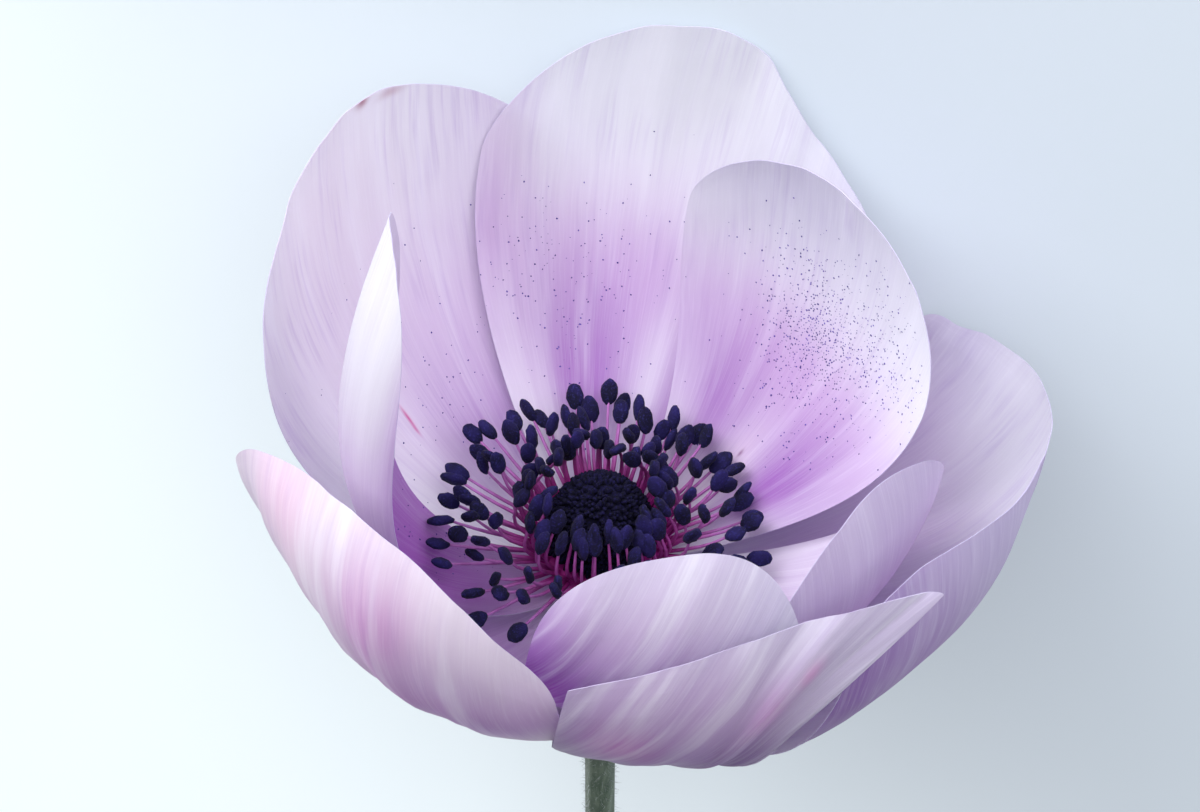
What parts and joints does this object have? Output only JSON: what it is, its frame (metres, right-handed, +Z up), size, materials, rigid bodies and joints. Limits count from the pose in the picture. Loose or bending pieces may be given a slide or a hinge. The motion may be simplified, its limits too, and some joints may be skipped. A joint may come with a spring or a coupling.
{
  "type": "anemone flower",
  "caption": "Cut anemone flower: broad overlapping petals cupped round a dark dome of carpels and a ring of stamens, on a bare straight stem.",
  "frame": {"origin": "centre of the footprint's bounding box, on the surface the flower lies on", "axes": "+Z up; +Y from the bloom along the stem towards its cut end, so that the bloom faces -Y; +X to the left of someone who stands at the cut end and looks at the bloom"},
  "size_m": [0.072, 0.1494, 0.0641],
  "materials": {
    "petal": "thin, soft, satin petal, pale lilac at the rim and violet towards the base",
    "stem": "dull dark green stem with fine hairs",
    "carpel": "near-black, fine-grained",
    "stamen": "dark navy anthers on magenta-purple filaments, dull"
  },
  "bodies": {
    "root": {"stem": "stem", "petal_front_outer": "petal", "petal_left_front": "petal", "petal_right": "petal", "petal_left_back": "petal", "petal_front_inner": "petal", "petal_left_inner": "petal", "petal_back": "petal", "petal_right_inner": "petal", "petal_right_back": "petal", "carpels": "carpel", "stamens": "stamen"}
  },
  "joints": []
}
